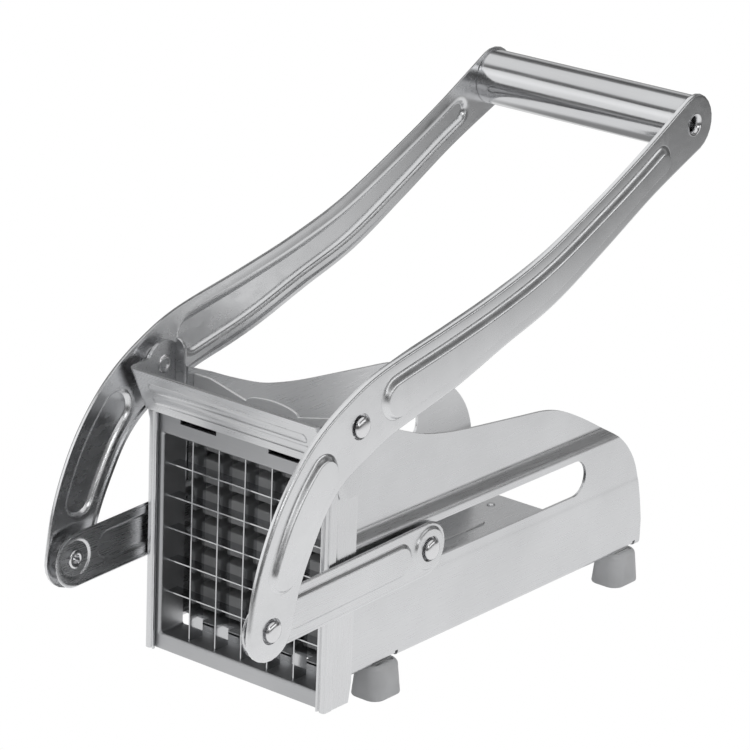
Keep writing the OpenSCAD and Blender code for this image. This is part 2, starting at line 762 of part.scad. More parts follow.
// Stamped arm: a flat web with a rim turned inward and two raised panels
module arm(side) {
    color("gainsboro") placed() on_side(side) difference() {
        union() {
            side_sheet(arm_in, arm_t, arm_outline);
            side_sheet(arm_out, panel_rise, panel(low_first, low_last, panel_margin));
            side_sheet(arm_out, panel_rise, panel(high_first, high_last, panel_margin));
            difference() {
                side_sheet(arm_out - rim_shallow, rim_shallow, arm_outline);
                side_sheet(arm_out - rim_shallow - over, rim_shallow + 2 * over, arm_inner);
            }
            difference() {
                side_sheet(arm_out - rim_deep, rim_deep, arm_outline);
                side_sheet(arm_out - rim_deep - over, rim_deep + 2 * over, arm_inner);
                side_pin(main_pivot, arm_out - rim_deep - over, arm_out + over, 2 * deep_start_r);
                block([arm_out - rim_deep - over, front_reach - over, 0],
                      [arm_out + over, pivot_y, pivot_z + bend_half * 2]);
            }
        }
        side_sheet(arm_in - over, over + panel_rise,
                   panel(low_first, low_last, panel_margin + panel_rise));
        side_sheet(arm_in - over, over + panel_rise,
                   panel(high_first, high_last, panel_margin + panel_rise));
        side_pin(main_pivot, arm_in - over, arm_out + over, rivet_d + 2 * pin_fit);
        side_pin(lower_pivot, arm_in - over, arm_out + over, rivet_d + 2 * pin_fit);
        side_pin(grip_centre, arm_in - over, arm_out + over, tie_d + 2 * pin_fit);
        // Room in the rim for the tube's end
        side_pin(grip_centre, arm_out - rim_deep - over, arm_in, tube_d + 2 * pin_fit);
    }
}

// Rivet of the lower eye: its shoulder ends just short of the link
module lower_rivet(side) {
    stop = link_out + rivet_tail + link_clear;
    color("silver") placed() on_side(side) {
        side_pin(lower_pivot, stop, arm_in, rivet_head_d);
        side_pin(lower_pivot, stop, arm_out, rivet_d);
        dome(lower_pivot, arm_out);
    }
}

// Main pivot rivet, through the arm, a spacer and the bracket's ear
module pivot_rivet(side) {
    color("silver") placed() on_side(side) rivet(main_pivot, ear_in, arm_out);
}

// Washer between the ear and the arm
module pivot_spacer(side) {
    color("darkgray") placed() on_side(side) difference() {
        side_pin(main_pivot, ear_out, arm_in - seat_gap, rivet_d * 2);
        side_pin(main_pivot, ear_out - over, arm_in + over, rivet_d + 2 * pin_fit);
    }
}

// Round tube between the arms
module handle_tube() {
    color("silver") placed() difference() {
        side_pin(grip_centre, -arm_in, arm_in, tube_d);
        side_pin(grip_centre, -arm_in - over, arm_in + over, tube_d - 2 * tube_t);
    }
}

// Plastic plugs centre the tie rod in the tube's ends
plug_l = 6;
module tube_plugs() {
    color([0.2, 0.2, 0.21]) placed() both_sides() difference() {
        side_pin(grip_centre, arm_in - plug_l, arm_in, tube_d - 2 * tube_t);
        side_pin(grip_centre, arm_in - plug_l - over, arm_in + over, tie_d + 2 * pin_fit);
    }
}

// Hollow tie rod, flared over both arms
module handle_tie_rod() {
    flare_d = tie_d + 2 * rivet_tail + arm_t;
    color("silver") placed() difference() {
        union() {
            side_pin(grip_centre, -arm_out - rivet_tail, arm_out + rivet_tail, tie_d);
            both_sides() side_pin(grip_centre, arm_out, arm_out + rivet_tail, flare_d);
        }
        side_pin(grip_centre, -arm_out - over, arm_out + over, tie_d - 2 * arm_t);
    }
}

// Rubber foot pushed up on a tab of the wall
foot_out = shell_half + foot_stand;
foot_rise = foot_drop + belly_z - foot_gap;
module foot(side, y) {
    color([0.55, 0.56, 0.57]) placed() on_side(side) difference() {
        hull() {
            for (a = [0, 1], b = [-1, 1]) {
                translate([foot_out - foot_round - a * (foot_w - 2 * foot_round),
                           y + b * (foot_l / 2 - foot_round), -foot_drop])
                    cylinder(h = foot_drop + belly_z - foot_shoulder, r = foot_round, $fn = small_fn);
                translate([foot_out - foot_round - foot_draft
                               - a * (foot_w - 2 * foot_round - 2 * foot_draft),
                           y + b * (foot_l / 2 - foot_round - foot_draft), -foot_drop])
                    cylinder(h = foot_rise, r = foot_round, $fn = small_fn);
            }
        }
        block([shell_half - shell_t - seat_gap, y - foot_tab_l / 2 - seat_gap,
               belly_z - foot_tab_depth - seat_gap],
              [shell_half + seat_gap, y + foot_tab_l / 2 + seat_gap, belly_z + over]);
    }
}

body_shell();
cross_plate();
front_frame();
top_bracket();
blade_cassette();
horizontal_blades();
vertical_blades();
peg_block();
pusher_carrier();
carrier_rivets();
slider_bush(1);  // slider_bush_right
slider_bush(-1);  // slider_bush_left
slider_rivet(1);  // slider_rivet_right
slider_rivet(-1);  // slider_rivet_left
link(1);  // link_right
link(-1);  // link_left
link_eyelet(1);  // link_eyelet_right
link_eyelet(-1);  // link_eyelet_left
arm(1);  // arm_right
arm(-1);  // arm_left
lower_rivet(1);  // lower_rivet_right
lower_rivet(-1);  // lower_rivet_left
pivot_rivet(1);  // pivot_rivet_right
pivot_rivet(-1);  // pivot_rivet_left
pivot_spacer(1);  // pivot_spacer_right
pivot_spacer(-1);  // pivot_spacer_left
handle_tube();
handle_tie_rod();
tube_plugs();
foot(1, front_foot_y);  // front_foot_right
foot(-1, front_foot_y);  // front_foot_left
foot(1, rear_foot_y);  // rear_foot_right
foot(-1, rear_foot_y);  // rear_foot_left
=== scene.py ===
import math

import bmesh
import bpy
from mathutils import Matrix, Vector


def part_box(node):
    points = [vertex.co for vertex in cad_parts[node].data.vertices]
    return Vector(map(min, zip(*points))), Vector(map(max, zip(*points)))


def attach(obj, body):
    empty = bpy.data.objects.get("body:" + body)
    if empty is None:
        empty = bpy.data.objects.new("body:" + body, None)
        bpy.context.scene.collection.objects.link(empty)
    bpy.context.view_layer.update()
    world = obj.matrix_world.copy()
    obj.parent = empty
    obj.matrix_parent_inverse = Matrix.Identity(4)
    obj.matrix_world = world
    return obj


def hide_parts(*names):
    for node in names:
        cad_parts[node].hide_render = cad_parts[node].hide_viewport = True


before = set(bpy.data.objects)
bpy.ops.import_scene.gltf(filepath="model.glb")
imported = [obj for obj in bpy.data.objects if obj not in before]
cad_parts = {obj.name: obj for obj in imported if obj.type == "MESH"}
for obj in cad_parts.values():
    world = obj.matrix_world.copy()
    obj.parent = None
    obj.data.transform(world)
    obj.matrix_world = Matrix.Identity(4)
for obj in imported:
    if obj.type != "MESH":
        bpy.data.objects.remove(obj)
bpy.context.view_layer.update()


# Body shell. One sheet of 1 mm satin stainless steel, folded to a floor and two
# side walls. Each wall is jogged in along its length, pierced for the guide bush
# and slit over its two feet; ribs are pressed up in the floor.
MM = 0.001
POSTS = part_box("front_frame")[0]


def place(x, y, z):
    """A point in millimetres from the foot of the posts' front faces."""
    return Vector((x * MM, POSTS.y + y * MM, POSTS.z + z * MM))


def side_points(x, points):
    return [place(x, p[0], p[1]) for p in points]


def rounded(points, reach, steps=5):
    """Open line whose inner corners are turned to arcs that start reach away."""
    points = [Vector(p) for p in points]
    line = [points[0]]
    for a, b, c in zip(points, points[1:], points[2:]):
        start = b + (a - b).normalized() * min(reach, (a - b).length * 0.45)
        end = b + (c - b).normalized() * min(reach, (c - b).length * 0.45)
        for k in range(steps + 1):
            t = k / steps
            line.append(start.lerp(b, t).lerp(b.lerp(end, t), t))
    line.append(points[-1])
    return line


def smooth_line(points, steps):
    """Curve through the points, by four neighbours."""
    points = [Vector(p) for p in points]
    line = []
    for i in range(len(points) - 1):
        a, b = points[max(i - 1, 0)], points[i]
        c, d = points[i + 1], points[min(i + 2, len(points) - 1)]
        for k in range(steps):
            t = k / steps
            line.append(0.5 * (2 * b + (c - a) * t + (2 * a - 5 * b + 4 * c - d) * t ** 2
                               + (3 * b - a - 3 * c + d) * t ** 3))
    return line + [points[-1]]


def new_object(name, bm):
    mesh = bpy.data.meshes.new(name)
    bm.to_mesh(mesh)
    bm.free()
    obj = bpy.data.objects.new(name, mesh)
    bpy.context.scene.collection.objects.link(obj)
    return obj


def fresh_points(made):
    return [v for v in made["geom"] if isinstance(v, bmesh.types.BMVert)]


def settle(obj):
    """Makes what the modifiers show the mesh itself."""
    graph = bpy.context.evaluated_depsgraph_get()
    mesh = bpy.data.meshes.new_from_object(obj.evaluated_get(graph))
    obj.modifiers.clear()
    obj.data = mesh
    return obj


def thicken(obj, thickness, offset=-1, even=True):
    """Gives a surface the thickness of its sheet; an offset of -1 grows it inward."""
    wall = obj.modifiers.new("thickness", "SOLIDIFY")
    wall.thickness = thickness * MM
    wall.offset = offset
    wall.use_even_offset = even
    return settle(obj)


def run_sheet(name, points, along, thickness, offset):
    """A bent line of points, run along a vector and given the sheet's thickness."""
    bm = bmesh.new()
    verts = [bm.verts.new(p) for p in points]
    edges = [bm.edges.new(pair) for pair in zip(verts, verts[1:])]
    made = bmesh.ops.extrude_edge_only(bm, edges=edges)
    bmesh.ops.translate(bm, verts=fresh_points(made), vec=along)
    return thicken(new_object(name, bm), thickness, offset)


def prism(name, points, along):
    """A closed outline, run along a vector to a solid."""
    bm = bmesh.new()
    face = bm.faces.new([bm.verts.new(p) for p in points])
    made = bmesh.ops.extrude_face_region(bm, geom=[face])
    bmesh.ops.translate(bm, verts=fresh_points(made), vec=along)
    bmesh.ops.recalc_face_normals(bm, faces=bm.faces)
    return new_object(name, bm)


def block(name, low, high):
    """A box between two corners, in millimetres."""
    bm = bmesh.new()
    bmesh.ops.create_cube(bm, size=1)
    low, high = place(*low), place(*high)
    bmesh.ops.scale(bm, verts=bm.verts, vec=high - low)
    bmesh.ops.translate(bm, verts=bm.verts, vec=(low + high) / 2)
    return new_object(name, bm)


def side_block(name, side, low, high):
    """A box on one side of the cutter; its x values count outward from the middle."""
    near, far = sorted((side * low[0], side * high[0]))
    return block(name, (near, *low[1:]), (far, *high[1:]))


def add_cube(bm, size, centre):
    """Adds a box of a size in millimetres round a point and returns its corners."""
    corners = bmesh.ops.create_cube(bm, size=1)["verts"]
    bmesh.ops.scale(bm, verts=corners, vec=[s * MM for s in size])
    bmesh.ops.translate(bm, verts=corners, vec=centre)
    return corners


def upright_edges(bm, least):
    """Edges that rise by more than a length in millimetres."""
    return [e for e in bm.edges if abs((e.verts[0].co - e.verts[1].co).z) > least * MM]


def edges_above(bm, z):
    """Edges that lie wholly above a height in millimetres."""
    return [e for e in bm.edges if min(v.co.z for v in e.verts) > place(0, 0, z).z]


def round_edges(bm, edges, width, segments):
    bmesh.ops.bevel(bm, geom=edges, offset=width * MM, segments=segments, profile=0.5, affect="EDGES",
                    material=-1)


def combine(obj, others, how):
    """Joins, cuts or crosses a piece with others, which are used up."""
    for other in others:
        step = obj.modifiers.new("joint", "BOOLEAN")
        step.operation = how
        step.solver = "EXACT"
        step.object = other
    settle(obj)
    for other in others:
        bpy.data.objects.remove(other)
    return obj


def soften(obj, width, segments=2, angle=48):
    """Rounds the sharp edges by width millimetres."""
    edge = obj.modifiers.new("edges", "BEVEL")
    edge.width = width * MM
    edge.segments = segments
    edge.limit_method = "ANGLE"
    edge.angle_limit = math.radians(angle)
    edge.miter_outer = "MITER_ARC"
    return settle(obj)


def fit(obj, body, nodes, material):
    """Shades a piece, gives it its finish and seats it on its body."""
    obj.data.materials.clear()
    obj.data.materials.append(material)
    obj.data.shade_smooth()
    obj.data.set_sharp_from_angle(angle=math.radians(50))
    even = obj.modifiers.new("even shading", "WEIGHTED_NORMAL")
    even.keep_sharp = True
    even.weight = 80
    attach(obj, body)
    if nodes:
        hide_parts(*nodes)
    return obj


def new_material(name):
    material = bpy.data.materials.new(name)
    material.use_nodes = True
    return material, material.node_tree, material.node_tree.nodes["Principled BSDF"]


def node(tree, kind, **values):
    made = tree.nodes.new(kind)
    for key, value in values.items():
        if key in made.inputs:
            made.inputs[key].default_value = value
        else:
            setattr(made, key, value)
    return made


def spread(tree, value, reach, result):
    """Maps the reach of a value onto the result's two ends."""
    step = node(tree, "ShaderNodeMapRange")
    for socket, number in zip(("From Min", "From Max", "To Min", "To Max"), (*reach, *result)):
        step.inputs[socket].default_value = number
    tree.links.new(value, step.inputs["Value"])
    return step.outputs["Result"]


def steel(name, tint, dull, grain, grain_depth=0.012, shift=0.05, wear=0.12):
    """Stainless steel whose polishing lines run along the low values of grain."""
    material, tree, shader = new_material(name)
    shader.inputs["Metallic"].default_value = 1.0
    where = node(tree, "ShaderNodeTexCoord")
    lines = node(tree, "ShaderNodeMapping", Scale=grain)
    tree.links.new(where.outputs["Object"], lines.inputs["Vector"])
    polish = node(tree, "ShaderNodeTexNoise", Scale=1.0, Detail=2.5, Roughness=0.55)
    tree.links.new(lines.outputs["Vector"], polish.inputs["Vector"])
    cloud = node(tree, "ShaderNodeTexNoise", Scale=26.0, Detail=3.0, Roughness=0.55)
    tree.links.new(where.outputs["Object"], cloud.inputs["Vector"])

    # Clouds and polishing lines shift the tint, and sharp edges are rubbed brighter.
    tones = (1 - shift, 1 + shift)
    both = node(tree, "ShaderNodeMath", operation="MULTIPLY")
    tree.links.new(spread(tree, cloud.outputs["Fac"], (0.3, 0.7), tones), both.inputs[0])
    tree.links.new(spread(tree, polish.outputs["Fac"], (0.25, 0.75), tones), both.inputs[1])
    form = node(tree, "ShaderNodeNewGeometry")
    turned = node(tree, "ShaderNodeBevel", samples=4, Radius=0.35 * MM)
    match = node(tree, "ShaderNodeVectorMath", operation="DOT_PRODUCT")
    tree.links.new(form.outputs["Normal"], match.inputs[0])
    tree.links.new(turned.outputs["Normal"], match.inputs[1])
    lit = node(tree, "ShaderNodeMath", operation="ADD")
    tree.links.new(both.outputs["Value"], lit.inputs[0])
    tree.links.new(spread(tree, match.outputs["Value"], (0.98, 0.8), (0.0, wear)), lit.inputs[1])
    colour = node(tree, "ShaderNodeVectorMath", operation="SCALE")
    colour.inputs[0].default_value = tint
    tree.links.new(lit.outputs["Value"], colour.inputs["Scale"])
    tree.links.new(colour.outputs["Vector"], shader.inputs["Base Color"])

    rough = spread(tree, polish.outputs["Fac"], (0.3, 0.7), (dull - 0.05, dull + 0.07))
    tree.links.new(rough, shader.inputs["Roughness"])
    relief = node(tree, "ShaderNodeBump", Strength=0.2, Distance=grain_depth * MM)
    tree.links.new(polish.outputs["Fac"], relief.inputs["Height"])
    tree.links.new(relief.outputs["Normal"], shader.inputs["Normal"])
    return material


SHEET = 1.0
SHELL_OUT, WALL_OUT = 36.2, 33.2
SHELL_FRONT, SHELL_REAR = 12.5, 166.5
BELLY_Z, FLOOR_BEND = 7.7, 1.9
JOG_Z, JOG_H, JOG_BEND = 50.8, 3.4, 1.15
WALL_TOP = [(24.6, 87.6), (34.1, 83.4), (48.0, 78.0), (58.3, 75.5), (69.9, 73.6), (88.2, 71.5),
            (101.6, 70.0), (113.2, 68.6), (122.4, 66.0), (131.5, 61.8), (141.5, 56.3),
            (150.7, 50.6), (157.3, 44.4), (161.8, 37.0), (164.8, 26.4), (166.5, 16.7)]
SLOT_Z, SLOT_H, SLOT_FRONT, SLOT_REAR = 41.7, 12.4, 20.756, 127.004
FEET_Y = (30.6, 157.6)
PITCH = 10.8
WINDOWS, WINDOW_REAR = ((24.3, 33.5), (13.5, 18.9), (2.7, 8.1)), 15.9
TOOTH_HALF = 2.7
LEG_TOP = 80
RIB_X, RIB_Y, RIB_L, RIB_W = 13.3, 83.25, 120, 5
body_steel = steel("body_steel", (0.64, 0.645, 0.655), 0.3, (2600, 90, 2600))


def round_bar(name, y, z, x0, x1, radius, steps=48):
    """A round bar across the cutter."""
    bm = bmesh.new()
    bmesh.ops.create_circle(bm, cap_ends=True, segments=steps, radius=radius * MM,
                            matrix=Matrix.Translation(place(x0, y, z)) @ Matrix.Rotation(math.pi / 2, 4, "Y"))
    made = bmesh.ops.extrude_face_region(bm, geom=bm.faces[:])
    bmesh.ops.translate(bm, verts=fresh_points(made), vec=((x1 - x0) * MM, 0, 0))
    bmesh.ops.recalc_face_normals(bm, faces=bm.faces)
    return new_object(name, bm)


half_section = rounded([(0, BELLY_Z), (SHELL_OUT, BELLY_Z), (SHELL_OUT, 20)], FLOOR_BEND, 6)[:-1]
half_section += rounded([(SHELL_OUT, 20), (SHELL_OUT, 31.4), (SHELL_OUT - 0.2, 33.0),
                         (SHELL_OUT - 0.2, JOG_Z), (WALL_OUT, JOG_Z + JOG_H), (WALL_OUT, 93.5)], JOG_BEND, 5)
section = [Vector((-p.x, p.y)) for p in reversed(half_section[1:])] + half_section[1:]
shell = run_sheet("body_shell_sheet", [place(p.x, SHELL_FRONT, p.y) for p in section],
                  (0, (SHELL_REAR - SHELL_FRONT) * MM, 0), SHEET, -1)
side_view = [(SHELL_FRONT - 1, BELLY_Z - 1), (SHELL_FRONT - 1, 92.4), (SHELL_FRONT, 92.4)]
side_view += [(p.x, p.y) for p in smooth_line(WALL_TOP, 5)] + [(SHELL_REAR, BELLY_Z - 1)]
combine(shell, [prism("side_view", side_points(-45, side_view), (90 * MM, 0, 0))], "INTERSECT")
cuts = []
for side in (-1, 1):
    cuts.append(side_block("slot_middle", side, (30, SLOT_FRONT, SLOT_Z - SLOT_H / 2),
                           (40, SLOT_REAR, SLOT_Z + SLOT_H / 2)))
    for y in (SLOT_FRONT, SLOT_REAR):
        cuts.append(round_bar("slot_end", y, SLOT_Z, side * 30, side * 40, SLOT_H / 2))
    for y in FEET_Y:
        cuts.append(side_block("foot_slit", side, (31.5, y - 6.0, 7.0), (37, y + 6.0, 9.0)))
        cuts.append(side_block("foot_notch", side, (34.3, y + 4.8, 7.0), (37, y + 6.2, 9.8)))
    for near, far in WINDOWS:
        cuts.append(side_block("floor_window", side, (near, 11, 5), (far, WINDOW_REAR, 9.6)))
combine(shell, cuts, "DIFFERENCE")
soften(shell, 0.22)
fit(shell, "base", ["body_shell"], body_steel)

# Legs of the walls between the posts and the webs behind them, dull and painted near
# black as painted shade for the narrow gaps where they show; the tabs that hold the
# feet and the teeth bent down from the floor's front edge.
painted_shade_steel = steel("painted_shade_steel", (0.09, 0.09, 0.095), 0.55, (400, 400, 400), wear=0.0)
legs = []
for side in (-1, 1):
    legs.append(side_block("shell_leg", side, (SHELL_OUT - SHEET, 2.7, BELLY_Z), (SHELL_OUT, 13.4, LEG_TOP)))
    legs.append(side_block("shell_web", side, (WALL_OUT - SHEET, SHELL_FRONT, 54.2),
                           (SHELL_OUT, SHELL_FRONT + SHEET, LEG_TOP)))
    for y in FEET_Y:
        legs.append(side_block("foot_tab", side, (SHELL_OUT - SHEET, y - 4, BELLY_Z - 5),
                               (SHELL_OUT, y + 4, BELLY_Z - 0.4)))
for i in range(-2, 3):
    legs.append(block("floor_tooth", (i * PITCH - TOOTH_HALF, SHELL_FRONT, 4.7),
                      (i * PITCH + TOOTH_HALF, SHELL_FRONT + SHEET, 8.6)))
for leg in legs:
    # Legs and webs take the near-black steel that paints the shade in the gaps; tabs and teeth take the body's
    # steel.
    in_painted_shade = leg.name.startswith("shell_")
    soften(leg, 0.2)
    fit(leg, "base", [], painted_shade_steel if in_painted_shade else body_steel)

# Two long ribs and two dimples, pressed up in the floor.
for x in (-RIB_X, RIB_X):
    bm = bmesh.new()
    add_cube(bm, (RIB_W, RIB_L, 1.0), place(x, RIB_Y, 8.7))
    round_edges(bm, upright_edges(bm, 0.5), 2.4, 8)
    round_edges(bm, edges_above(bm, 9.1), 0.45, 4)
    fit(new_object("floor_rib", bm), "base", [], body_steel)
for side in (-1, 1):
    bm = bmesh.new()
    bmesh.ops.create_uvsphere(bm, u_segments=24, v_segments=12, radius=1.5 * MM)
    bmesh.ops.scale(bm, verts=bm.verts, vec=(1, 1, 0.55))
    bmesh.ops.translate(bm, verts=bm.verts, vec=place(side * 20.2, 157.2, 8.6))
    fit(new_object("floor_dimple", bm), "base", [], body_steel)


# Cross plate. A 1 mm steel plate with a rounded middle, spot welded between the
# side walls over the chamber's mouth.
PLATE_Y, PLATE_HALF, PLATE_LOW, PLATE_TOP = 15.1, 32.2, 75.7, 89.5
hump = [(10.5 * math.cos(a), 86 + 2.6 * math.sin(a)) for a in [math.pi * k / 24 for k in range(25)]]
top_line = [(25.5, PLATE_TOP)] + hump + [(-25.5, PLATE_TOP)]
plate_outline = [(-PLATE_HALF, PLATE_LOW), (PLATE_HALF, PLATE_LOW), (PLATE_HALF, PLATE_TOP)] + top_line
plate_outline += [(-PLATE_HALF, PLATE_TOP)]
plate = prism("cross_plate_sheet", [place(x, PLATE_Y, z) for x, z in plate_outline], (0, SHEET * MM, 0))
soften(plate, 0.2)
plate_steel = steel("plate_steel", (0.82, 0.825, 0.83), 0.6, (90, 2600, 2600))
fit(plate, "base", ["cross_plate"], plate_steel)


# Front frame. Two folded channel posts of 0.7 mm steel, each with a groove pressed
# down its front and a rounded outer corner, and the 1 mm shelf between them; the
# posts are welded to the shell.
FRAME_H = 80.0
POST_SHEET = 0.7
POST_FRONT = 0.04
CHANNEL = [(33.8, 0), (34.1, 0), (34.3, 0.2), (34.5, 0.62), (34.75, 0.72), (35.0, 0.5), (35.2, 0.12),
           (35.6, 0), (36.2, 0), (36.6, 0.05), (36.9, 0.2), (37.1, 0.4), (37.2, 0.7), (37.2, 3.2),
           (37.1, 3.7), (36.95, 4.1), (36.9, 4.6), (36.9, 13.2)]
CORNER_CUT = [(11.8, -1), (14.0, -1), (14.0, 6.6), (13.26, 6.6)]
frame_steel = steel("frame_steel", (0.66, 0.665, 0.675), 0.28, (2600, 2600, 90))
for side, name in ((1, "post_right"), (-1, "post_left")):
    outline = [place(side * x, y + POST_FRONT, 0) for x, y in CHANNEL]
    post = run_sheet(name, outline, (0, 0, FRAME_H * MM), POST_SHEET, side)
    corner = side_points(min(side * 30, side * 40), CORNER_CUT)
    combine(post, [prism("rear_corner", corner, (10 * MM, 0, 0))], "DIFFERENCE")
    soften(post, 0.15)
    fit(post, "base", ["front_frame"] if side > 0 else [], frame_steel)
shelf = block("cassette_shelf", (-SHELL_OUT, 2.8, 0), (SHELL_OUT, 12.1, 0.9))
soften(shelf, 0.25)
fit(shelf, "base", [], frame_steel)


# Top bracket. A 1.2 mm steel plate that leans forward over the cassette, with two
# pressed ribs; its ends are folded back to the ears that carry the lever.
BRACKET_SHEET = 1.2
EAR_IN, EAR_OUT, EAR_R = 37.2, 38.4, 7.6
FLANGE, FLANGE_Y, FLANGE_TOP = 3.6, 12.0, 97.3
CORNER_X, CORNER_Z, CORNER_R = 35.8, 83.6, 2.6
LEAN = math.radians(25.7)
LEAN_H = 17.6
LEAN_LOW = Vector((0.0, 80.62))
SLOPE = Vector((-math.sin(LEAN), math.cos(LEAN)))
OUTWARD = Vector((-math.cos(LEAN), -math.sin(LEAN)))
PIVOT = Vector((7.0, 93.5))


def on_lean(x, up, out):
    """A point on the leaning plate: across, up its slope, and out from its rear face."""
    p = LEAN_LOW + SLOPE * up + OUTWARD * out
    return place(x, p.x, p.y)


wrap = rounded([(-EAR_OUT, -36), (-EAR_OUT, BRACKET_SHEET), (EAR_OUT, BRACKET_SHEET), (EAR_OUT, -36)], 2.6, 6)
bracket = run_sheet("top_bracket_sheet", [on_lean(p.x, -30, p.y) for p in wrap],
                    place(0, SLOPE.x * 60, SLOPE.y * 60) - place(0, 0, 0), BRACKET_SHEET, 1)
low_front = LEAN_LOW + OUTWARD * 1.4
top_front = LEAN_LOW + SLOPE * LEAN_H + OUTWARD * 1.4
ear_line = [(low_front.x, low_front.y), (top_front.x, top_front.y)]
ear_line += [(PIVOT.x + EAR_R * math.cos(a), PIVOT.y + EAR_R * math.sin(a))
             for a in [math.pi - LEAN - (math.radians(150) - LEAN) * k / 16 for k in range(17)]]
ear_line += [(13.2, FLANGE_TOP), (13.2, 69.2), (1.0, 69.2), (1.0, 80.7)]
combine(bracket, [prism("ear_outline", side_points(-45, ear_line), (90 * MM, 0, 0))], "INTERSECT")
combine(bracket, [block("under_plate", (-EAR_IN, -5, 60), (EAR_IN, 20, 81.0)),
                  block("behind_plate", (-EAR_IN, 0.2, 60), (EAR_IN, 20, 81.3))], "DIFFERENCE")
corners = []
for side in (-1, 1):
    arc = [math.radians(-9 * k) for k in range(11)]
    outline = [(side * 40, CORNER_Z)]
    outline += [(side * (CORNER_X + CORNER_R * math.cos(a)), CORNER_Z + CORNER_R * math.sin(a)) for a in arc]
    outline += [(side * CORNER_X, 79), (side * 40, 79)]
    corners.append(prism("low_corner", [place(x, -12, z) for x, z in outline], (0, 12.1 * MM, 0)))
combine(bracket, corners, "DIFFERENCE")
soften(bracket, 0.22)
bracket_steel = steel("bracket_steel", (0.64, 0.645, 0.655), 0.3, (90, 2600, 2600))
fit(bracket, "base", ["top_bracket"], bracket_steel)
for share in (0.36, 0.64):
    bm = bmesh.new()
    bmesh.ops.create_cone(bm, cap_ends=True, segments=32, radius1=1.6 * MM, radius2=1.6 * MM,
                          depth=64 * MM, matrix=Matrix.Rotation(math.pi / 2, 4, "Y"))
    ends = [e for e in bm.edges if any(len(f.verts) > 4 for f in e.link_faces)]
    round_edges(bm, ends, 1.5, 6)
    bmesh.ops.scale(bm, verts=bm.verts, vec=(1, 0.34, 1.25))
    bmesh.ops.rotate(bm, verts=bm.verts, cent=(0, 0, 0), matrix=Matrix.Rotation(LEAN, 3, "X"))
    bmesh.ops.translate(bm, verts=bm.verts, vec=on_lean(0, LEAN_H * share, 1.1))
    fit(new_object("bracket_rib", bm), "base", [], bracket_steel)
for side in (-1, 1):
    arc = [math.radians(d) for d in range(15, 91, 15)]
    strip = [(FLANGE, 80), (FLANGE, FLANGE_TOP + FLANGE)]
    strip += [(FLANGE - FLANGE * math.sin(a), FLANGE_TOP + FLANGE * math.cos(a)) for a in arc] + [(0, 80)]
    strip = [place(side * (EAR_IN - FLANGE + x), FLANGE_Y, z) for x, z in strip]
    flange = prism("ear_flange", strip, (0, BRACKET_SHEET * MM, 0))
    soften(flange, 0.2)
    fit(flange, "base", [], bracket_steel)


# Blade cassette. A 1 mm steel box, open front and rear, with a flange folded out
# round its front and a hem folded back behind its head; two finger slots in the
# head flange lift it out of the frame.
CASSETTE_Y, CASSETTE_DEEP = 1.7, 10.8
RIM = (34.9, 0.3, 81.0)
OPENING = (32.4, 5.6, 73.0)
CASSETTE_R = 0.8
FINGER_X, FINGER_HALF, FINGER_LOW, FINGER_TOP = 18, 7.4, 77.9, 80.2
HEM = [(2.2, 80.0), (11.6, 80.0), (11.6, 73.6), (12.4, 73.6), (12.4, 80.8), (2.2, 80.8)]
HEM_HALF = 33.9
cassette_steel = steel("cassette_steel", (0.46, 0.465, 0.475), 0.42, (90, 2600, 2600))


def square_ring(half, low, high, radius, steps=4):
    """Outline of a rectangle with rounded corners, as (x, z)."""
    points = []
    for cx, cz, start in ((half, high, 0), (-half, high, 90), (-half, low, 180), (half, low, 270)):
        sx, sz = (1 if cx > 0 else -1), (1 if cz == high else -1)
        for k in range(steps + 1):
            a = math.radians(start + 90 * k / steps)
            points.append((cx - sx * radius + radius * math.cos(a), cz - sz * radius + radius * math.sin(a)))
    return points


def ring_edges(bm, ring):
    """The edges of a closed ring, made where they are missing."""
    return [bm.edges.get((a, b)) or bm.edges.new((a, b)) for a, b in zip(ring, ring[1:] + ring[:1])]


def carry_ring(bm, ring, points):
    """Extrudes a closed ring of edges and sets its new points."""
    made = set(fresh_points(bmesh.ops.extrude_edge_only(bm, edges=ring_edges(bm, ring))))
    carried = []
    for old, point in zip(ring, points):
        new = next(e.other_vert(old) for e in old.link_edges if e.other_vert(old) in made)
        new.co = point
        carried.append(new)
    return carried


bm = bmesh.new()
half, low, high = OPENING
ring = [bm.verts.new(place(x, CASSETTE_Y, z)) for x, z in square_ring(*RIM, CASSETTE_R)]
for grow, deep in ((1.0, 0), (0.7, 0.07), (0.3, 0.3), (0.07, 0.7), (0, 1.0), (0, CASSETTE_DEEP)):
    inner = square_ring(half + grow, low - grow, high + grow, CASSETTE_R)
    ring = carry_ring(bm, ring, [place(x, CASSETTE_Y + deep, z) for x, z in inner])
bmesh.ops.recalc_face_normals(bm, faces=bm.faces)
if sum(f.normal.y for f in bm.faces if abs(f.normal.y) > 0.9) > 0:
    bmesh.ops.reverse_faces(bm, faces=bm.faces)
cassette = thicken(new_object("blade_cassette_box", bm), SHEET)
slots = [block("finger_slot", (x - FINGER_HALF, 0, FINGER_LOW), (x + FINGER_HALF, 4, FINGER_TOP))
         for x in (-FINGER_X, FINGER_X)]
combine(cassette, slots, "DIFFERENCE")
soften(cassette, 0.15)
fit(cassette, "cassette", ["blade_cassette"], cassette_steel)
hem = prism("cassette_hem", side_points(-HEM_HALF, HEM), (2 * HEM_HALF * MM, 0, 0))
soften(hem, 0.15)
fit(hem, "cassette", [], cassette_steel)


